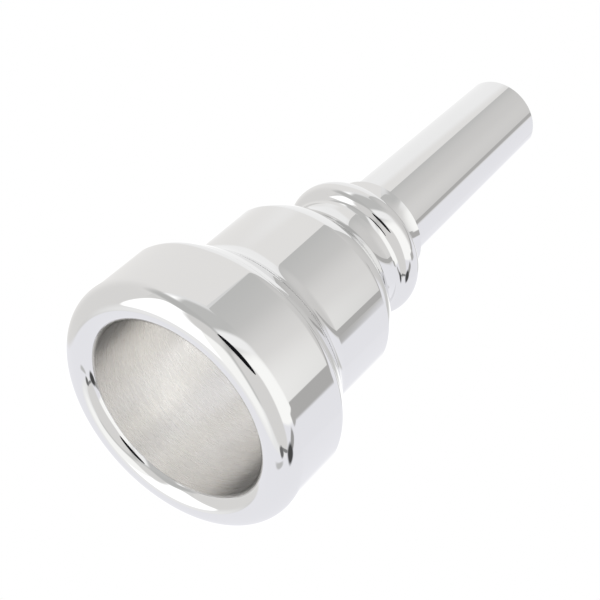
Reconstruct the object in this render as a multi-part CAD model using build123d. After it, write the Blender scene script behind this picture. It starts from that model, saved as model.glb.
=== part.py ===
from build123d import *
import os
from math import acos, cos, degrees, radians, sin

# A screw-together mouthpiece for a large-shank brass instrument, in millimetres.
# Each piece is turned about one axis. Outlines are drawn as (radius, distance from the rim
# plane) and revolved about Z, and the finished piece is laid along +Y, so the rim faces -Y.
# An outline runs from the rim to the shank, and a left turn is a turn towards the axis.

os.makedirs("parts", exist_ok=True)

# ---- driving dimensions ----
LENGTH = 87.6  # rim plane to the end of the shank
RIM_R = 19.33
CREST_R = 16.1  # highest circle of the rim
LIP_OUT_DEPTH = 3.15  # depth of the rounding from the crest out to the rim's side
LIP_IN_WIDTH = 2.33  # rounding from the crest in to the bite
LIP_IN_DEPTH = 2.35
BITE_DEPTH = 1.65  # where the rim ends and the bowl starts
RIM_CORNER = 2.0
RIM_CORNER_TURN = 50.0
RIM_JOINT = 13.15  # plane in which the rim seats on the cup
SHOULDER_LEAN = 27.0  # slope of the flare where it leaves the rim
SHOULDER_DIVE = 46.0  # steepest slope of the flare
SHOULDER_ROUND = 13.6
BODY_R = 14.47  # cylinder behind the shoulder
BODY_END = 30.7
BODY_CORNER = 1.2
BODY_CORNER_TURN = 20.0
BODY_EDGE = (13.2, 33.5)  # crisp rear edge of the body
HOLLOW_DIVE = 60.0  # slope at which the hollow leaves the body's edge
WAIST_R = 9.5
BEAD_R = 11.06  # top of the round collar
BEAD_AT = 43.7
BEAD_ROUND = 2.45
BEAD_RISE = 55.0  # slope at which the waist runs into the collar
BEAD_DIVE = 78.0  # slope at which the collar runs into the ferrule
TAIL_R = 7.75  # narrowest circle of the ferrule behind the collar
FERRULE_R = 7.97  # crisp rear edge of the ferrule
SHANK_JOINT = 50.1  # plane in which the shank seats on the ferrule
SHANK_BASE_R = 7.02
SHANK_END_R = 6.37
BOWL_R = 13.93  # bowl at the bite
THROAT_R = 3.5
THROAT_LENGTH = 5.5
BACKBORE_R = 5.3  # backbore at the end of the shank

# ---- fits ----
SEAT_GAP = 0.05  # between faces that don't carry a joint
SLIP = 0.10  # radial clearance of a plain spigot
FLANK_GAP = 0.10  # clearance of a screw thread
SEAL_GAP = 0.05  # clearance round an unsqueezed seal
EDGE = 0.15  # chamfer that breaks a sharp edge

# ---- screw threads ----
THREAD_DEPTH = 0.613  # of the pitch
THREAD_FOOT = 0.72  # width at the root, of the pitch
THREAD_TIP = 0.16  # width at the crest, of the pitch
THREAD_SINK = 0.05  # how far a ridge's foot sinks into its core
TAP_STOCK = 0.3  # left inside a hole for its tap to cut
THREAD_PHASE = 37.0  # turns the ridge's ends off the seam of its core

# ---- rim joint ----
RIM_PITCH = 1.5
RIM_THREAD_R = 16.2
RIM_THREAD = (3.2, 6.0)  # start and length of the male thread
RIM_RELIEF = (16.45, 3.9)  # radius and end of the run-out inside the rim
RIM_PILOT_R = 16.6
RIM_PILOT_START = 10.35
RIM_STEP = 10.0  # where the rim's bore opens from thread to pilot
RIM_SEAL_AT = 11.75
RIM_SEAL_R = 0.65  # half the seal's thickness

# ---- shank joint ----
SHANK_PITCH = 1.0
SHANK_THREAD_R = 6.0
SPIGOT_START = 41.0
SHANK_THREAD = (42.2, 4.5)
SHANK_RELIEF = (6.2, 42.7)
SOCKET_R = 6.4
SOCKET_STEP = 47.3  # where the socket opens from thread to plain bore
SPIGOT_LAND = 47.6
SHANK_SEAL_AT = 48.8
SHANK_SEAL_R = 0.6
GROOVE_ROOM = 0.10  # a seal groove's extra width, on each side


def leaning(degrees_in):
    """The heading that leans so many degrees from the axis's direction towards the axis."""
    return Vector(-sin(radians(degrees_in)), cos(radians(degrees_in)))


def run(edge, length):
    """The straight line that carries on from the end of an edge."""
    return Line(edge @ 1, edge @ 1 + (edge % 1) * length)


def bend(edge, radius, turn):
    """The arc that carries on smoothly from the end of an edge, turning left if turn is positive."""
    return JernArc(edge @ 1, edge % 1, radius, turn)


def drop_round(drop, slope):
    """The radius of an arc that comes that far in towards the axis as it turns level."""
    return drop / (1 - cos(radians(slope)))


def run_to(edge, distance):
    """The straight line that carries on from an edge until it is that far from the rim plane."""
    return run(edge, (distance - (edge @ 1).Y) / (edge % 1).Y)


def turned(outline):
    """The solid turned from a closed outline."""
    with BuildPart() as piece:
        with BuildSketch(Plane.XZ):
            add(outline.line)
            make_face()
        revolve(axis=Axis.Z)
    return piece.part


def ridge(crest_r, pitch, start, length, grow=0.0):
    """A right-hand screw ridge. grow widens it on every side, to cut the mating groove.

    The flanks run on a little way into the core. The guide runs level with the helix along
    its axis, which keeps the section upright.
    """
    depth = THREAD_DEPTH * pitch
    slope = (THREAD_FOOT - THREAD_TIP) * pitch / 2 / depth
    path = Helix(pitch=pitch, height=length, radius=crest_r - depth + grow - THREAD_SINK)
    guide = Edge.make_line((0, 0, 0), (0, 0, length))
    height = depth + THREAD_SINK
    tip = THREAD_TIP * pitch / 2 + grow
    foot = tip + slope * height
    with BuildSketch(Plane(origin=path @ 0, x_dir=(1, 0, 0), z_dir=path % 0)) as section:
        with BuildLine():
            Polyline((0, -foot), (height, -tip), (height, tip), (0, foot), close=True)
        make_face()
    solid = sweep(section.sketch, path=path, binormal=guide)
    return Pos(0, 0, start) * solid.rotate(Axis.Z, THREAD_PHASE)


def tap(crest_r, pitch, start, length):
    """What cuts a female thread: a core with a ridge that leaves room for the male one."""
    reach = length + pitch
    level = (Align.CENTER, Align.CENTER, Align.MIN)
    core = Cylinder(root_radius(crest_r, pitch) + FLANK_GAP, reach, align=level)
    return Pos(0, 0, start - pitch / 2) * core + ridge(crest_r, pitch, start, length, FLANK_GAP)


def root_radius(crest_r, pitch):
    return crest_r - THREAD_DEPTH * pitch


def seal_groove(at, half_thickness):
    """The two distances from the rim plane between which a seal's groove runs."""
    half_width = half_thickness + GROOVE_ROOM
    return at - half_width, at + half_width


def backbore_radius(distance):
    """The backbore widens evenly from the throat to the end of the shank."""
    start = throat_end()
    return THROAT_R + (BACKBORE_R - THROAT_R) * (distance - start) / (LENGTH - start)


def bowl_wall():
    """The bowl's wall, from the bite to the end of the throat."""
    lean = 4.0  # degrees inwards at the bite
    dive = 55.0  # steepest slope, above the throat
    straight = 9.0
    throat_round = 5.0
    narrowing = BOWL_R - THROAT_R - straight * sin(radians(lean))
    rounding = throat_round * (1 - cos(radians(dive)))
    bottom = (narrowing - rounding) / (cos(radians(lean)) - cos(radians(dive)))
    start = Vector(BOWL_R, BITE_DEPTH + SEAT_GAP)
    side = Line(start, start + leaning(lean) * straight)
    floor = bend(side, bottom, dive - lean)
    funnel = bend(floor, throat_round, -dive)
    return run(funnel, THROAT_LENGTH)


def throat_end():
    with BuildLine():
        throat = bowl_wall()
    return (throat @ 1).Y


def rim():
    """The playing rim: a ring with a female thread and an inside groove for its seal."""
    bore_r = RIM_PILOT_R + SLIP
    drill_r = root_radius(RIM_THREAD_R, RIM_PITCH) + FLANK_GAP - TAP_STOCK
    relief_r, relief_end = RIM_RELIEF
    groove_r = RIM_PILOT_R + 2 * (SEAL_GAP + RIM_SEAL_R)
    groove_start, groove_end = seal_groove(RIM_SEAL_AT, RIM_SEAL_R)
    with BuildLine() as outline:
        lip_turn = degrees(acos(1 - BITE_DEPTH / LIP_IN_DEPTH))
        inner_centre = (CREST_R, LIP_IN_DEPTH)
        outer_centre = (CREST_R, LIP_OUT_DEPTH)
        lip = EllipticalCenterArc(
            inner_centre, LIP_IN_WIDTH, LIP_IN_DEPTH, start_angle=-90, arc_size=-lip_turn
        )
        outer = EllipticalCenterArc(
            outer_centre, RIM_R - CREST_R, LIP_OUT_DEPTH, start_angle=-90, arc_size=90
        )
        side = run_to(outer, RIM_JOINT - RIM_CORNER * sin(radians(RIM_CORNER_TURN)))
        corner = bend(side, RIM_CORNER, RIM_CORNER_TURN)
        Polyline(
            corner @ 1,
            (bore_r + EDGE, RIM_JOINT),
            (bore_r, RIM_JOINT - EDGE),
            (bore_r, groove_end),
            (groove_r, groove_end),
            (groove_r, groove_start),
            (bore_r, groove_start),
            (bore_r, RIM_STEP + EDGE),
            (bore_r - EDGE, RIM_STEP),
            (drill_r, RIM_STEP),
            (drill_r, relief_end),
            (relief_r, relief_end),
            (relief_r, BITE_DEPTH),
            lip @ 1,
        )
    start, _ = RIM_THREAD
    return turned(outline) - tap(RIM_THREAD_R, RIM_PITCH, start, RIM_STEP - start + RIM_PITCH)


def shoulder_and_body(seat_r):
    """The flare behind the rim and the plain body, down to its crisp rear edge."""
    turn = SHOULDER_DIVE - SHOULDER_LEAN
    shoulder = JernArc((seat_r, RIM_JOINT), leaning(SHOULDER_LEAN), SHOULDER_ROUND, turn)
    cove_round = drop_round((shoulder @ 1).X - BODY_R, SHOULDER_DIVE)
    body = run_to(bend(shoulder, cove_round, -SHOULDER_DIVE), BODY_END)
    corner = bend(body, BODY_CORNER, BODY_CORNER_TURN)
    TangentArc(corner @ 1, BODY_EDGE, tangent=corner % 1)


def waist_and_collar():
    """The hollow behind the body, the waist, the round collar and the ferrule."""
    edge_r, _ = BODY_EDGE
    hollow_round = drop_round(edge_r - WAIST_R, HOLLOW_DIVE)
    hollow = JernArc(BODY_EDGE, leaning(HOLLOW_DIVE), hollow_round, -HOLLOW_DIVE)
    rise = BEAD_R - BEAD_ROUND * (1 - cos(radians(BEAD_RISE))) - WAIST_R
    quirk_round = drop_round(rise, BEAD_RISE)
    quirk_start = BEAD_AT - (BEAD_ROUND + quirk_round) * sin(radians(BEAD_RISE))
    quirk = bend(run_to(hollow, quirk_start), quirk_round, -BEAD_RISE)
    bead = bend(quirk, BEAD_ROUND, BEAD_RISE + BEAD_DIVE)
    tail = bend(bead, drop_round((bead @ 1).X - TAIL_R, BEAD_DIVE), -BEAD_DIVE)
    TangentArc(tail @ 1, (FERRULE_R, SHANK_JOINT), tangent=tail % 1)


def cup():
    """The cup: bowl and throat inside, threaded spigot in front, threaded collar behind."""
    seat_r = RIM_R - RIM_CORNER * (1 - cos(radians(RIM_CORNER_TURN)))
    root_r = root_radius(RIM_THREAD_R, RIM_PITCH)
    front = BITE_DEPTH + SEAT_GAP
    drill_r = root_radius(SHANK_THREAD_R, SHANK_PITCH) + FLANK_GAP - TAP_STOCK
    relief_r, relief_end = SHANK_RELIEF
    socket_end = SPIGOT_START - SEAT_GAP
    with BuildLine() as outline:
        shoulder_and_body(seat_r)
        waist_and_collar()
        throat = bowl_wall()
        Polyline(
            (FERRULE_R, SHANK_JOINT),
            (SOCKET_R + EDGE, SHANK_JOINT),
            (SOCKET_R, SHANK_JOINT - EDGE),
            (SOCKET_R, SOCKET_STEP),
            (drill_r, SOCKET_STEP),
            (drill_r, relief_end),
            (relief_r, relief_end),
            (relief_r, socket_end),
            (backbore_radius(socket_end), socket_end),
            throat @ 1,
        )
        Polyline(
            (BOWL_R, front),
            (root_r - 2 * EDGE, front),
            (root_r, front + 2 * EDGE),
            (root_r, RIM_PILOT_START),
            (RIM_PILOT_R - EDGE, RIM_PILOT_START),
            (RIM_PILOT_R, RIM_PILOT_START + EDGE),
            (RIM_PILOT_R, RIM_JOINT),
            (seat_r, RIM_JOINT),
        )
    start, _ = SHANK_THREAD
    female = tap(SHANK_THREAD_R, SHANK_PITCH, start, SOCKET_STEP - start + SHANK_PITCH)
    return turned(outline) + ridge(RIM_THREAD_R, RIM_PITCH, *RIM_THREAD) - female


def shank():
    """The shank: a tapered tube with a threaded spigot that holds a seal."""
    root_r = root_radius(SHANK_THREAD_R, SHANK_PITCH)
    land_r = SOCKET_R - SLIP
    groove_r = SOCKET_R - 2 * (SEAL_GAP + SHANK_SEAL_R)
    groove_start, groove_end = seal_groove(SHANK_SEAL_AT, SHANK_SEAL_R)
    with BuildLine() as outline:
        Polyline(
            (SHANK_BASE_R, SHANK_JOINT),
            (SHANK_END_R, LENGTH - EDGE),
            (SHANK_END_R - EDGE, LENGTH),
            (BACKBORE_R, LENGTH),
            (backbore_radius(SPIGOT_START), SPIGOT_START),
            (root_r - EDGE, SPIGOT_START),
            (root_r, SPIGOT_START + EDGE),
            (root_r, SPIGOT_LAND),
            (land_r - EDGE, SPIGOT_LAND),
            (land_r, SPIGOT_LAND + EDGE),
            (land_r, groove_start),
            (groove_r, groove_start),
            (groove_r, groove_end),
            (land_r, groove_end),
            (land_r, SHANK_JOINT),
            close=True,
        )
    return turned(outline) + ridge(SHANK_THREAD_R, SHANK_PITCH, *SHANK_THREAD)


def seal(centre_r, half_thickness, at):
    """A round-section rubber ring."""
    return Pos(0, 0, at) * Torus(centre_r, half_thickness)


pieces = {
    "rim": rim(),
    "cup": cup(),
    "shank": shank(),
    "rim_o_ring": seal(RIM_PILOT_R + SEAL_GAP + RIM_SEAL_R, RIM_SEAL_R, RIM_SEAL_AT),
    "shank_o_ring": seal(SOCKET_R - SEAL_GAP - SHANK_SEAL_R, SHANK_SEAL_R, SHANK_SEAL_AT),
}
for name, piece in pieces.items():
    export_step(piece.rotate(Axis.X, -90), f"parts/{name}.step")
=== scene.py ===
"""A silver-plated mouthpiece for a large-shank brass instrument, lying in a white light tent.

The axis runs along +Y from the rim (y = 0) to the end of the shank. Sizes are in millimetres
until a mesh is made. An outline is drawn as (radius, distance from the rim plane).
"""

import math

import bpy
import numpy as np
from mathutils import Matrix, Vector


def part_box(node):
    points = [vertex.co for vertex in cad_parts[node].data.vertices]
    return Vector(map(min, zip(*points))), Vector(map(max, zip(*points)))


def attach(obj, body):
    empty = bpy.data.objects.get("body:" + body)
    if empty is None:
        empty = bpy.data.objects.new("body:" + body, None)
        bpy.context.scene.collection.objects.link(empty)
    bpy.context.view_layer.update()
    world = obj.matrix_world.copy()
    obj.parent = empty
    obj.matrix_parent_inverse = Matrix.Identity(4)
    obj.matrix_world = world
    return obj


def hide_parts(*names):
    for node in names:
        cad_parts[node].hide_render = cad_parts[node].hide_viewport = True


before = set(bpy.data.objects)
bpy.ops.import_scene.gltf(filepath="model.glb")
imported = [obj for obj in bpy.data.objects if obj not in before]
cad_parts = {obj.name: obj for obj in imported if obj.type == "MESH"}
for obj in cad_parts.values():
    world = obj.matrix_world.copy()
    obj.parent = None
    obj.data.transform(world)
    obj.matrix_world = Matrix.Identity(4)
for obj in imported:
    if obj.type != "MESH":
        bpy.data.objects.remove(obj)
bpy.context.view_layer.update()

MM = 0.001
COLUMNS = 240  # facets round the axis
ARC_STEP = 4.0  # degrees of turn per facet along an outline
THREAD_STEPS = 20  # facets along one turn's pitch
SLOPE_STEP = 0.01  # mm or radians to each side, over which a thread's slope is taken

# ---- sizes that the frame gives ----
RIM_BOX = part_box("rim")
CUP_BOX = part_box("cup")
SHANK_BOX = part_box("shank")
RIM_R = RIM_BOX[1].x / MM
RIM_JOINT = RIM_BOX[1].y / MM
CUP_FRONT = CUP_BOX[0].y / MM
SHANK_JOINT = CUP_BOX[1].y / MM
SHANK_BASE_R = SHANK_BOX[1].x / MM
SPIGOT_START = SHANK_BOX[0].y / MM
LENGTH = SHANK_BOX[1].y / MM

# ---- the rim ----
CREST_R = 16.1  # the highest circle
LIP_OUT_DEPTH = 3.15
LIP_IN_WIDTH = 2.33
LIP_IN_DEPTH = 2.35
BITE_DEPTH = 1.65  # where the rim ends and the bowl starts
RIM_CORNER = 2.0
RIM_CORNER_TURN = 50.0

# ---- the cup ----
SHOULDER_LEAN = 27.0
SHOULDER_DIVE = 46.0
SHOULDER_ROUND = 13.6
BODY_R = 14.47
BODY_END = 30.7
BODY_CORNER = 1.2
BODY_CORNER_TURN = 20.0
BODY_EDGE_R = 13.2
BODY_EDGE_AT = 33.5
HOLLOW_DIVE = 60.0
WAIST_R = 9.5
BEAD_R = 11.06
BEAD_AT = 43.7
BEAD_ROUND = 2.45
BEAD_RISE = 55.0
BEAD_DIVE = 78.0
TAIL_R = 7.75
FERRULE_R = 7.97
BOWL_R = 13.93
BOWL_LEAN = 4.0
BOWL_DIVE = 55.0
BOWL_STRAIGHT = 9.0
THROAT_ROUND = 5.0
THROAT_R = 3.5
THROAT_LENGTH = 5.5

# ---- the shank ----
SHANK_END_R = 6.37
BACKBORE_R = 5.3

# ---- the joints ----
SLIP = 0.10
SPIGOT_GAP = 0.05
EDGE = 0.15
THREAD_DEPTH = 0.613  # the ridge's depth and widths are parts of the pitch
THREAD_FOOT = 0.72
THREAD_TIP = 0.16
THREAD_PHASE = 127.0
THREAD_RUN_IN = 0.2  # the part of a turn in which the ridge rises from nothing
FEMALE_EXTRA_TURNS = 4.0
RIM_PITCH = 1.5
RIM_THREAD_R = 16.2
RIM_THREAD = (3.2, 6.0)  # (start, length)
RIM_RELIEF = (16.45, 3.9)  # (radius, end)
RIM_PILOT_R = 16.6
RIM_PILOT_START = 10.35
RIM_STEP = 10.0
RIM_GROOVE = (11.0, 12.5, 18.0)  # (start, end, radius)
SHANK_PITCH = 1.0
SHANK_THREAD_R = 6.0
SHANK_THREAD = (42.2, 4.5)  # (start, length)
SHANK_RELIEF = (6.2, 42.7)  # (radius, end)
SOCKET_R = 6.4
SOCKET_STEP = 47.3
SPIGOT_LAND = 47.6
SHANK_GROOVE = (48.1, 49.5, 5.1)  # (start, end, radius)

POLISHED, SATIN = 0, 1


# ---------------------------------------------------------------- outlines


class Outline:
    """The closed edge of a turned piece's half section, drawn with the metal on its left.

    lean is the direction of travel in degrees: 0 runs straight to the shank, 90 straight in
    to the axis. Each step is (radius, distance, lean) at both its ends, a finish and a screw.
    """

    def __init__(self, radius, distance, lean=0.0, finish=POLISHED):
        self.radius = radius
        self.distance = distance
        self.lean = lean
        self.finish = finish
        self.steps = []

    def step(self, radius, distance, lean, leave=None, screw=None):
        start = (self.radius, self.distance, self.lean if leave is None else leave)
        self.steps.append((start, (radius, distance, lean), self.finish, screw))
        self.radius = radius
        self.distance = distance
        self.lean = lean

    def line_to(self, radius, distance):
        lean = math.degrees(math.atan2(self.radius - radius, distance - self.distance))
        self.step(radius, distance, lean, leave=lean)

    def run(self, length):
        slope = math.radians(self.lean)
        self.line_to(
            self.radius - length * math.sin(slope), self.distance + length * math.cos(slope)
        )

    def bend(self, radius, turn):
        """An arc that carries on smoothly. A positive turn is to the left, round the metal."""
        side = math.copysign(radius, turn)
        slope = math.radians(self.lean)
        centre_r = self.radius - side * math.cos(slope)
        centre_s = self.distance - side * math.sin(slope)
        count = max(3, math.ceil(abs(turn) / ARC_STEP))
        first = self.lean
        for i in range(1, count + 1):
            lean = first + turn * i / count
            slope = math.radians(lean)
            self.step(centre_r + side * math.cos(slope), centre_s + side * math.sin(slope), lean)

    def bend_to(self, radius, distance):
        """The arc that carries on smoothly and ends at a point."""
        across = self.radius - radius
        along = distance - self.distance
        turn = 2 * (math.degrees(math.atan2(across, along)) - self.lean)
        self.bend(math.hypot(across, along) / 2 / math.sin(math.radians(abs(turn) / 2)), turn)

    def quarter(self, centre, width, depth, first, last):
        """Part of an ellipse. Angles run from the crest, 0, out to the side, 90."""
        count = math.ceil(abs(last - first) / ARC_STEP)
        for i in range(count + 1):
            angle = math.radians(first + (last - first) * i / count)
            radius = centre + width * math.sin(angle)
            distance = depth * (1 - math.cos(angle))
            lean = math.degrees(math.atan2(-width * math.cos(angle), depth * math.sin(angle)))
            if i == 0:
                self.lean = lean
            else:
                self.step(radius, distance, lean)

    def screw_to(self, distance, screw):
        """A threaded stretch, at the radius between the turns, in steps much finer than a turn."""
        sense = math.copysign(1, distance - self.distance)
        lean = 0.0 if sense > 0 else 180.0
        count = math.ceil(abs(distance - self.distance) / screw["pitch"] * THREAD_STEPS)
        start = self.distance
        for i in range(1, count + 1):
            at = start + (distance - start) * i / count
            self.step(self.radius, at, lean, leave=lean, screw=screw)


def drop_round(drop, turn):
    """The radius of an arc that drops by so much while it turns to, or from, the axis's way."""
    return drop / (1 - math.cos(math.radians(turn)))


def root_radius(crest_r, pitch):
    return crest_r - THREAD_DEPTH * pitch


def backbore_radius(distance, start):
    return THROAT_R + (BACKBORE_R - THROAT_R) * (distance - start) / (LENGTH - start)


def bowl_arcs():
    """(radius of the bowl's floor, distance at which the throat ends)"""
    lean, dive = math.radians(BOWL_LEAN), math.radians(BOWL_DIVE)
    narrowing = BOWL_R - THROAT_R - BOWL_STRAIGHT * math.sin(lean)
    rounding = THROAT_ROUND * (1 - math.cos(dive))
    floor = (narrowing - rounding) / (math.cos(lean) - math.cos(dive))
    depth = BOWL_STRAIGHT * math.cos(lean) + floor * (math.sin(dive) - math.sin(lean))
    return floor, CUP_FRONT + depth + THROAT_ROUND * math.sin(dive) + THROAT_LENGTH


BOWL_FLOOR, THROAT_END = bowl_arcs()


def rim_outline():
    land_r = root_radius(RIM_THREAD_R, RIM_PITCH) + SLIP
    bore_r = RIM_PILOT_R + SLIP
    relief_r, relief_end = RIM_RELIEF
    groove_start, groove_end, groove_r = RIM_GROOVE
    o = Outline(CREST_R, 0.0)
    o.quarter(CREST_R, RIM_R - CREST_R, LIP_OUT_DEPTH, 0, 90)
    o.line_to(RIM_R, RIM_JOINT - RIM_CORNER * math.sin(math.radians(RIM_CORNER_TURN)))
    o.bend(RIM_CORNER, RIM_CORNER_TURN)
    o.finish = SATIN
    o.line_to(bore_r + EDGE, RIM_JOINT)
    o.line_to(bore_r, RIM_JOINT - EDGE)
    o.line_to(bore_r, groove_end)
    o.line_to(groove_r, groove_end)
    o.line_to(groove_r, groove_start)
    o.line_to(bore_r, groove_start)
    o.line_to(bore_r, RIM_STEP)
    o.line_to(land_r, RIM_STEP)
    o.screw_to(relief_end, screw(RIM_THREAD_R, RIM_PITCH, RIM_THREAD, female=True))
    o.line_to(relief_r, relief_end)
    o.line_to(relief_r, BITE_DEPTH)
    bite = math.degrees(math.acos(1 - BITE_DEPTH / LIP_IN_DEPTH))
    o.line_to(CREST_R - LIP_IN_WIDTH * math.sin(math.radians(bite)), BITE_DEPTH)
    o.finish = POLISHED
    o.quarter(CREST_R, LIP_IN_WIDTH, LIP_IN_DEPTH, -bite, 0)
    return o


def shoulder_and_body(o):
    """The flare behind the rim and the plain cylinder."""
    o.lean = SHOULDER_LEAN
    o.bend(SHOULDER_ROUND, SHOULDER_DIVE - SHOULDER_LEAN)
    o.bend(drop_round(o.radius - BODY_R, SHOULDER_DIVE), -SHOULDER_DIVE)
    o.line_to(BODY_R, BODY_END)
    o.bend(BODY_CORNER, BODY_CORNER_TURN)
    o.bend_to(BODY_EDGE_R, BODY_EDGE_AT)


def waist_and_collar(o):
    """The hollow behind the body, the round collar and the ferrule that takes the shank."""
    o.lean = HOLLOW_DIVE
    o.bend(drop_round(o.radius - WAIST_R, HOLLOW_DIVE), -HOLLOW_DIVE)
    rise = BEAD_R - BEAD_ROUND * (1 - math.cos(math.radians(BEAD_RISE))) - WAIST_R
    quirk_round = drop_round(rise, BEAD_RISE)
    quirk_length = (BEAD_ROUND + quirk_round) * math.sin(math.radians(BEAD_RISE))
    o.line_to(WAIST_R, BEAD_AT - quirk_length)
    o.bend(quirk_round, -BEAD_RISE)
    o.bend(BEAD_ROUND, BEAD_RISE + BEAD_DIVE)
    o.bend(drop_round(o.radius - TAIL_R, BEAD_DIVE), -BEAD_DIVE)
    o.bend_to(FERRULE_R, SHANK_JOINT)


def socket(o):
    """The threaded hole in the collar."""
    land_r = root_radius(SHANK_THREAD_R, SHANK_PITCH) + SLIP
    relief_r, relief_end = SHANK_RELIEF
    bottom = SPIGOT_START - SPIGOT_GAP
    o.finish = SATIN
    o.line_to(SOCKET_R + EDGE, SHANK_JOINT)
    o.line_to(SOCKET_R, SHANK_JOINT - EDGE)
    o.line_to(SOCKET_R, SOCKET_STEP)
    o.line_to(land_r, SOCKET_STEP)
    o.screw_to(relief_end, screw(SHANK_THREAD_R, SHANK_PITCH, SHANK_THREAD, female=True))
    o.line_to(relief_r, relief_end)
    o.line_to(relief_r, bottom)
    o.line_to(backbore_radius(bottom, THROAT_END), bottom)


def bowl(o):
    """The air passage from the backbore out to the bite, drawn towards the rim."""
    o.line_to(THROAT_R, THROAT_END)
    o.line_to(THROAT_R, THROAT_END - THROAT_LENGTH)
    o.bend(THROAT_ROUND, BOWL_DIVE)
    o.bend(BOWL_FLOOR, BOWL_LEAN - BOWL_DIVE)
    o.run(BOWL_STRAIGHT)


def cup_outline():
    root_r = root_radius(RIM_THREAD_R, RIM_PITCH)
    seat_r = RIM_R - RIM_CORNER * (1 - math.cos(math.radians(RIM_CORNER_TURN)))
    o = Outline(seat_r, RIM_JOINT)
    shoulder_and_body(o)
    waist_and_collar(o)
    socket(o)
    bowl(o)
    o.line_to(root_r - 2 * EDGE, CUP_FRONT)
    o.line_to(root_r, CUP_FRONT + 2 * EDGE)
    o.screw_to(RIM_PILOT_START, screw(RIM_THREAD_R, RIM_PITCH, RIM_THREAD))
    o.line_to(RIM_PILOT_R - EDGE, RIM_PILOT_START)
    o.line_to(RIM_PILOT_R, RIM_PILOT_START + EDGE)
    o.line_to(RIM_PILOT_R, RIM_JOINT)
    o.line_to(seat_r, RIM_JOINT)
    return o


def shank_outline():
    root_r = root_radius(SHANK_THREAD_R, SHANK_PITCH)
    land_r = SOCKET_R - SLIP
    groove_start, groove_end, groove_r = SHANK_GROOVE
    o = Outline(SHANK_BASE_R, SHANK_JOINT)
    o.line_to(SHANK_END_R, LENGTH - EDGE)
    o.bend(EDGE, 90)
    o.line_to(BACKBORE_R, LENGTH)
    o.finish = SATIN
    o.line_to(backbore_radius(SPIGOT_START, THROAT_END), SPIGOT_START)
    o.line_to(root_r - EDGE, SPIGOT_START)
    o.line_to(root_r, SPIGOT_START + EDGE)
    o.screw_to(SPIGOT_LAND, screw(SHANK_THREAD_R, SHANK_PITCH, SHANK_THREAD))
    o.line_to(land_r - EDGE, SPIGOT_LAND)
    o.line_to(land_r, SPIGOT_LAND + EDGE)
    o.line_to(land_r, groove_start)
    o.line_to(groove_r, groove_start)
    o.line_to(groove_r, groove_end)
    o.line_to(land_r, groove_end)
    o.line_to(land_r, SHANK_JOINT)
    o.line_to(SHANK_BASE_R, SHANK_JOINT)
    return o


def seal_outline(node):
    """The round section of a seal, from its CAD node's box."""
    low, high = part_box(node)
    half_thickness = (high.y - low.y) / 2 / MM
    o = Outline(high.x / MM, (high.y + low.y) / 2 / MM)
    o.bend(half_thickness, 360)
    return o


# ---------------------------------------------------------------- meshes


def screw(crest_r, pitch, stretch, female=False):
    """A right-hand screw. A female one is wider by the slip and runs on past its stretch."""
    start, length = stretch
    turns = length / pitch + (FEMALE_EXTRA_TURNS if female else 0.0)
    grow = SLIP if female else 0.0
    return {
        "pitch": pitch,
        "start": start,
        "turns": turns,
        "depth": THREAD_DEPTH * pitch,
        "foot": THREAD_FOOT * pitch / 2 + grow,
        "tip": THREAD_TIP * pitch / 2 + grow,
    }


def ridge_height(distance, angle, thread):
    """How far the ridge of a screw stands out at a distance and an angle."""
    pitch = thread["pitch"]
    part = np.mod(angle - math.radians(THREAD_PHASE), 2 * math.pi) / (2 * math.pi)
    along = (distance - thread["start"]) / pitch - part
    turn = np.round(along)
    off = np.abs(along - turn) * pitch
    flank = np.clip((thread["foot"] - off) / (thread["foot"] - thread["tip"]), 0, 1)
    passed = turn + part
    rise = np.clip(passed / THREAD_RUN_IN, 0, 1)
    fall = np.clip((thread["turns"] - passed) / THREAD_RUN_IN, 0, 1)
    return thread["depth"] * flank * rise * fall


def ring(point, thread, angles):
    """The points and normals of one ring of the mesh, at one end of a step."""
    radius, distance, lean = point
    slope = math.radians(lean)
    out = np.stack([np.sin(angles), np.zeros_like(angles), np.cos(angles)], axis=1)
    around = np.stack([np.cos(angles), np.zeros_like(angles), -np.sin(angles)], axis=1)
    along = np.array([0.0, 1.0, 0.0])
    if thread is None:
        points = out * radius + along * distance
        normals = out * math.cos(slope) + along * math.sin(slope)
        return points, normals
    height = ridge_height(distance, angles, thread)
    before = ridge_height(distance - SLOPE_STEP, angles, thread)
    after = ridge_height(distance + SLOPE_STEP, angles, thread)
    by_distance = (after - before) / (2 * SLOPE_STEP)
    before = ridge_height(distance, angles - SLOPE_STEP, thread)
    after = ridge_height(distance, angles + SLOPE_STEP, thread)
    by_angle = (after - before) / (2 * SLOPE_STEP)
    full = radius + height
    points = out * full[:, None] + along * distance
    normals = out - along * by_distance[:, None] - around * (by_angle / full)[:, None]
    normals /= np.linalg.norm(normals, axis=1, keepdims=True)
    return points, normals * math.cos(slope)


def turned_skin(outline):
    """The points, faces, corner normals and finishes of a closed outline turned round +Y."""
    angles = np.arange(COLUMNS) * 2 * math.pi / COLUMNS
    rows = len(outline.steps)
    points = []
    faces = []
    normals = []
    finishes = []
    column = np.arange(COLUMNS)
    after = np.roll(column, -1)
    for i, (start, end, finish, thread) in enumerate(outline.steps):
        before = outline.steps[i - 1][3]
        place, _ = ring(start, thread or before, angles)
        _, leaving = ring(start, thread, angles)
        _, arriving = ring(end, thread, angles)
        points.append(place)
        here = i * COLUMNS
        there = (i + 1) % rows * COLUMNS
        faces.append(np.stack([here + column, here + after, there + after, there + column], 1))
        corner = np.stack([leaving, leaving[after], arriving[after], arriving], axis=1)
        normals.append(corner.reshape(-1, 3))
        finishes += [finish] * COLUMNS
    return np.concatenate(points), np.concatenate(faces), np.concatenate(normals), finishes


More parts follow.
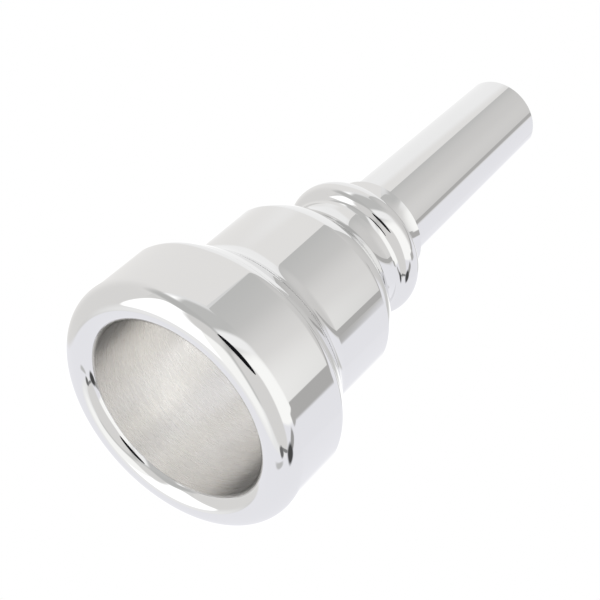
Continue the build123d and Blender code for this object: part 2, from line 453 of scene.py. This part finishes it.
def turn_piece(name, outline, materials):
    """A mesh turned from a closed outline, with the outline's exact normals."""
    points, faces, normals, finishes = turned_skin(outline)
    mesh = bpy.data.meshes.new(name)
    mesh.from_pydata((points * MM).tolist(), [], faces.tolist())
    for material in materials:
        mesh.materials.append(material)
    mesh.polygons.foreach_set("material_index", finishes)
    mesh.polygons.foreach_set("use_smooth", [True] * len(mesh.polygons))
    mesh.normals_split_custom_set(normals.tolist())
    mesh.update()
    piece = bpy.data.objects.new(name, mesh)
    bpy.context.scene.collection.objects.link(piece)
    return piece


# ---------------------------------------------------------------- materials


class Graph:
    """A short way to write a node tree."""

    def __init__(self, tree):
        self.tree = tree
        self.tree.nodes.clear()

    def node(self, kind, inputs=None, **settings):
        made = self.tree.nodes.new(kind)
        for key, value in settings.items():
            setattr(made, key, value)
        for key, value in (inputs or {}).items():
            self.feed(made.inputs[key], value)
        return made

    def feed(self, socket_in, value):
        if isinstance(value, bpy.types.NodeSocket):
            self.tree.links.new(value, socket_in)
        else:
            socket_in.default_value = value

    def math(self, operation, *values):
        made = self.node("ShaderNodeMath", operation=operation)
        for socket_in, value in zip(made.inputs, values):
            self.feed(socket_in, value)
        return made.outputs[0]

    def dot(self, vector, axis):
        made = self.node("ShaderNodeVectorMath", operation="DOT_PRODUCT")
        self.feed(made.inputs[0], vector)
        self.feed(made.inputs[1], axis)
        return made.outputs["Value"]

    def ramp(self, value, low, high, first=0.0, last=1.0):
        """Runs smoothly from first to last as a value goes from low to high."""
        made = self.node("ShaderNodeMapRange", interpolation_type="SMOOTHSTEP")
        for socket_in, number in zip(made.inputs, (value, low, high, first, last)):
            self.feed(socket_in, number)
        return made.outputs[0]

    def mix(self, factor, first, second):
        made = self.node("ShaderNodeMix", data_type="RGBA")
        self.feed(made.inputs[0], factor)
        self.feed(made.inputs[6], first)
        self.feed(made.inputs[7], second)
        return made.outputs[2]


def new_material(name):
    material = bpy.data.materials.new(name)
    material.use_nodes = True
    graph = Graph(material.node_tree)
    shader = graph.node("ShaderNodeBsdfPrincipled")
    output = graph.node("ShaderNodeOutputMaterial")
    graph.feed(output.inputs["Surface"], shader.outputs[0])
    place = graph.node("ShaderNodeTexCoord").outputs["Object"]
    return material, graph, shader, place


def noise(graph, place, scale, detail=2.0, stretch=(1, 1, 1)):
    mapping = graph.node("ShaderNodeMapping", {"Vector": place, "Scale": stretch})
    inputs = {"Vector": mapping.outputs[0], "Scale": scale, "Detail": detail}
    return graph.node("ShaderNodeTexNoise", inputs).outputs["Fac"]


def polished_silver():
    """Mirror-bright silver plate whose gloss varies very slightly."""
    material, graph, shader, place = new_material("polished_silver_plate")
    shader.inputs["Metallic"].default_value = 1.0
    cloud = noise(graph, place, scale=60.0)
    tint = graph.mix(cloud, (0.795, 0.795, 0.795, 1), (0.815, 0.815, 0.815, 1))
    graph.feed(shader.inputs["Base Color"], tint)
    haze = noise(graph, place, scale=400.0, detail=4.0, stretch=(1, 0.15, 1))
    roughness = graph.ramp(haze, 0.4, 0.75, first=0.012, last=0.03)
    graph.feed(shader.inputs["Roughness"], roughness)
    return material


def satin_silver():
    """Silver plate over fine turning lines, left unpolished."""
    material, graph, shader, place = new_material("satin_silver_plate")
    shader.inputs["Metallic"].default_value = 1.0
    shader.inputs["Anisotropic"].default_value = 0.72
    shader.inputs["Anisotropic Rotation"].default_value = 0.25
    cloud = noise(graph, place, scale=120.0)
    tint = graph.mix(cloud, (0.955, 0.945, 0.928, 1), (0.975, 0.965, 0.948, 1))
    graph.feed(shader.inputs["Base Color"], tint)
    lines = noise(graph, place, scale=6000.0, detail=4.0, stretch=(0.05, 1, 0.05))
    roughness = graph.ramp(lines, 0.3, 0.7, first=0.25, last=0.31)
    graph.feed(shader.inputs["Roughness"], roughness)
    bump = graph.node("ShaderNodeBump", {"Height": lines, "Strength": 0.1, "Distance": 0.00002})
    graph.feed(shader.inputs["Normal"], bump.outputs[0])
    tangent = graph.node("ShaderNodeTangent", direction_type="RADIAL", axis="Y")
    graph.feed(shader.inputs["Tangent"], tangent.outputs[0])
    return material


def seal_rubber():
    """Black rubber with a faint moulded grain."""
    material, graph, shader, place = new_material("seal_rubber")
    grain = noise(graph, place, scale=3000.0, detail=4.0)
    tint = graph.mix(grain, (0.012, 0.012, 0.013, 1), (0.03, 0.03, 0.032, 1))
    graph.feed(shader.inputs["Base Color"], tint)
    roughness = graph.ramp(grain, 0.3, 0.7, first=0.45, last=0.6)
    graph.feed(shader.inputs["Roughness"], roughness)
    bump = graph.node("ShaderNodeBump", {"Height": grain, "Strength": 0.15, "Distance": 0.0001})
    graph.feed(shader.inputs["Normal"], bump.outputs[0])
    return material


# ---------------------------------------------------------------- the light tent

WHITE = (1.0, 1.0, 1.0)
WARM = (1.012, 1.0, 0.985)
CREAM = (1.0, 1.0, 0.985)
LILAC = (0.99, 0.99, 1.035)

# What the mouthpiece mirrors: the panels, lamps and gaps of the tent. Each card is (name,
# azimuth, elevation, half width, half height, roll, corner power, edge softness, brightness,
# tint). Azimuth 0 is +Y and 90 is +X. Angles are in degrees, and a later card lies over an
# earlier one.
TENT_TOP = 0.6
SIDEWAYS = 0.02  # a card stops where the cosine of the angle from its centre is this small
CARDS = [
    ("lamp_over_left_panel", -84, 56, 27, 11, 0, 2.5, 0.45, 1.35, WHITE),
    ("top_left", -45, 61, 26, 8, 0, 3, 0.7, 0.9, WHITE),
    ("left_panel", -55, 0, 76, 60, 0, 6, 0.01, 0.9, WARM),
    ("left_panel_shade", -112, 0, 36, 46, 0, 3, 0.6, 0.81, WARM),
    ("left_panel_glow", -18, -4, 29, 38, 0, 4, 0.15, 1.01, WHITE),
    ("rear_panel", 21, 0, 30, 62, 0, 10, 0.01, 0.6, CREAM),
    ("rear_panel_middle", 24, 6, 28, 40, 0, 3, 0.5, 0.71, WARM),
    ("rear_panel_glow", 61, 28, 18, 26, 0, 2, 0.9, 0.89, WARM),
    ("right_panel", 98, 0, 46, 53, 0, 4, 0.35, 1.16, CREAM),
    ("right_panel_foot", 75, -32, 60, 22, 0, 4, 0.12, 0.94, LILAC),
    ("top_right", 110, 62, 40, 9, 0, 3, 0.4, 1.04, WHITE),
    ("front_foot", 180, -30, 42, 16, 0, 4, 0.3, 0.98, WHITE),
    ("front_opening", 139, 2, 25, 34, 0, 4, 0.15, 0.79, WARM),
    ("front_light", 183, -4, 14, 28, 0, 4, 0.3, 1.13, CREAM),
    ("top_shadow", -148, 58, 36, 10, 0, 3, 0.4, 0.56, CREAM),
    ("softbox", -151, 13, 19, 34, 1, 5, 0.05, 1.33, WHITE),
    ("softbox_flap", -177, 38, 14, 15, -14, 4, 0.25, 0.77, WARM),
    ("table", 0, -90, 54, 54, 0, 2, 0.06, 0.955, LILAC),
    ("table_glow", -38, -44, 28, 18, 0, 2, 0.35, 1.21, WHITE),
    ("gap_behind", 33, -3.3, 22, 3.2, -3, 8, 0.1, 0.49, WARM),
    ("gap_step", 59.5, -9.5, 11.5, 5, 0, 6, 0.25, 0.49, WARM),
    ("gap_right", 93, -21, 11, 4.5, -36, 3, 0.3, 0.38, WARM),
    ("gap_front_right", 111, -32.5, 11, 7, -32, 2.5, 0.3, 0.076, WHITE),
    ("gap_thin", 132, -31, 9, 1.5, 0, 2.5, 0.3, 0.28, WHITE),
    ("gap_front", 146, -33.5, 6, 3.6, -20, 2.5, 0.3, 0.18, WHITE),
    ("gap_front_left", 162, -43, 12, 1.6, -8, 2.5, 0.4, 0.6, WHITE),
]


def direction(azimuth, elevation):
    az, el = math.radians(azimuth), math.radians(elevation)
    return Vector((math.sin(az) * math.cos(el), math.cos(az) * math.cos(el), math.sin(el)))


def card_mask(graph, toward, card):
    """1 inside a card and 0 outside: a rounded rectangle on a plane square to its centre."""
    _, azimuth, elevation, half_width, half_height, roll, power, soft, _, _ = card
    middle = direction(azimuth, elevation)
    level = direction(azimuth + 90, 0)
    upward = level.cross(middle)
    turn = math.radians(roll)
    across = (level * math.cos(turn) + upward * math.sin(turn)) / math.tan(math.radians(half_width))
    along = (upward * math.cos(turn) - level * math.sin(turn)) / math.tan(math.radians(half_height))
    facing = graph.dot(toward, middle)
    depth = graph.math("MAXIMUM", facing, SIDEWAYS)
    total = []
    for axis in (across, along):
        share = graph.math("DIVIDE", graph.dot(toward, axis), depth)
        total.append(graph.math("POWER", graph.math("ABSOLUTE", share), power))
    reach = graph.math("POWER", graph.math("ADD", *total), 1 / power)
    ahead = graph.math("GREATER_THAN", facing, SIDEWAYS)
    return graph.ramp(reach, 1 - soft, 1 + soft, first=ahead, last=0.0)


def add_world():
    """The tent lights the mouthpiece and is mirrored in it. The camera itself sees plain white."""
    world = bpy.data.worlds.new("light_tent")
    bpy.context.scene.world = world
    world.use_nodes = True
    graph = Graph(world.node_tree)
    toward = graph.node("ShaderNodeTexCoord").outputs["Generated"]
    light = tuple(TENT_TOP * part for part in CREAM) + (1,)
    for card in CARDS:
        *_, brightness, tint = card
        colour = tuple(brightness * part for part in tint) + (1,)
        light = graph.mix(card_mask(graph, toward, card), light, colour)
    seen = graph.node("ShaderNodeLightPath").outputs["Is Camera Ray"]
    background = graph.node("ShaderNodeBackground")
    graph.feed(background.inputs["Color"], graph.mix(seen, light, (1, 1, 1, 1)))
    output = graph.node("ShaderNodeOutputWorld")
    graph.feed(output.inputs["Surface"], background.outputs[0])


# ---------------------------------------------------------------- camera and stage

CAMERA_AZIMUTH = 34.74
CAMERA_ELEVATION = 39.13
CAMERA_DISTANCE = 215.73
CAMERA_RIGHT = 17.19
CAMERA_UP = 15.25
FOCAL_LENGTH = 99.0
SENSOR = 36.0
CLIP_START = 0.01  # in metres
FLOOR_REACH = 3.0  # from its middle to each side, in metres


def camera_axes():
    """The camera's right, up and backward directions in the row frame."""
    az, el = math.radians(CAMERA_AZIMUTH), math.radians(CAMERA_ELEVATION)
    right = Vector((math.cos(az), math.sin(az), 0))
    back = Vector((math.sin(az) * math.cos(el), -math.cos(az) * math.cos(el), math.sin(el)))
    return right, back.cross(right), back


def add_camera():
    """Puts the camera at the photograph's view and returns its place."""
    right, up, back = camera_axes()
    place = (right * CAMERA_RIGHT + up * CAMERA_UP + back * CAMERA_DISTANCE) * MM
    data = bpy.data.cameras.new("camera")
    data.lens = FOCAL_LENGTH
    data.sensor_width = SENSOR
    data.clip_start = CLIP_START
    camera = bpy.data.objects.new("camera", data)
    turn = Matrix((right, up, back)).transposed().to_4x4()
    camera.matrix_world = Matrix.Translation(place) @ turn
    bpy.context.scene.collection.objects.link(camera)
    bpy.context.scene.camera = camera
    return place


def glow_material(name, colour):
    material = bpy.data.materials.new(name)
    material.use_nodes = True
    graph = Graph(material.node_tree)
    light = graph.node("ShaderNodeEmission", {"Color": colour, "Strength": 1.0})
    output = graph.node("ShaderNodeOutputMaterial")
    graph.feed(output.inputs["Surface"], light.outputs[0])
    return material


def add_camera_front(place):
    """The dark front of the camera, which the rim mirrors: an oval, higher on its left side."""
    half_length, half_width, tilt, facets = 70.0, 30.0, 139.0, 48
    right, up, _ = camera_axes()
    long_way = right * math.cos(math.radians(tilt)) + up * math.sin(math.radians(tilt))
    short_way = up * math.cos(math.radians(tilt)) - right * math.sin(math.radians(tilt))
    corners = []
    for i in range(facets):
        angle = 2 * math.pi * i / facets
        reach = long_way * half_length * math.cos(angle) + short_way * half_width * math.sin(angle)
        corners.append(place + reach * MM)
    mesh = bpy.data.meshes.new("camera_front")
    mesh.from_pydata(corners, [], [list(range(facets))])
    mesh.materials.append(glow_material("camera_black", (0.008, 0.008, 0.01, 1)))
    front = bpy.data.objects.new("camera_front", mesh)
    bpy.context.scene.collection.objects.link(front)
    front.visible_camera = False
    front.visible_diffuse = False
    front.visible_shadow = False


def add_floor():
    """A white floor that the rim touches. The silver mirrors the tent's table in its place."""
    height = -RIM_R * MM
    square = ((-1, -1), (1, -1), (1, 1), (-1, 1))
    corners = [(x * FLOOR_REACH, y * FLOOR_REACH, height) for x, y in square]
    mesh = bpy.data.meshes.new("floor")
    mesh.from_pydata(corners, [], [(0, 1, 2, 3)])
    floor = bpy.data.objects.new("floor", mesh)
    bpy.context.scene.collection.objects.link(floor)
    mesh.materials.append(glow_material("floor_white", (1, 1, 1, 1)))
    floor.visible_glossy = False


# ---------------------------------------------------------------- putting it together

bpy.context.scene.view_settings.view_transform = "Standard"
add_camera_front(add_camera())
add_world()
add_floor()

silver = [polished_silver(), satin_silver()]
rubber = [seal_rubber()]
rim_seal = seal_outline("rim_o_ring")
shank_seal = seal_outline("shank_o_ring")
turned = [
    ("mouthpiece_rim", rim_outline(), silver, "rim", "rim", "plated_brass"),
    ("mouthpiece_cup", cup_outline(), silver, "cup", "cup", "plated_brass"),
    ("mouthpiece_shank", shank_outline(), silver, "shank", "shank", "plated_brass"),
    ("rim_seal_ring", rim_seal, rubber, "rim_seal", "rim_o_ring", "seal_rubber"),
    ("shank_seal_ring", shank_seal, rubber, "shank_seal", "shank_o_ring", "seal_rubber"),
]
for name, outline, materials, body, node, slot in turned:
    piece = turn_piece(name, outline, materials)
    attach(piece, body)
    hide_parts(node)

bpy.context.view_layer.update()
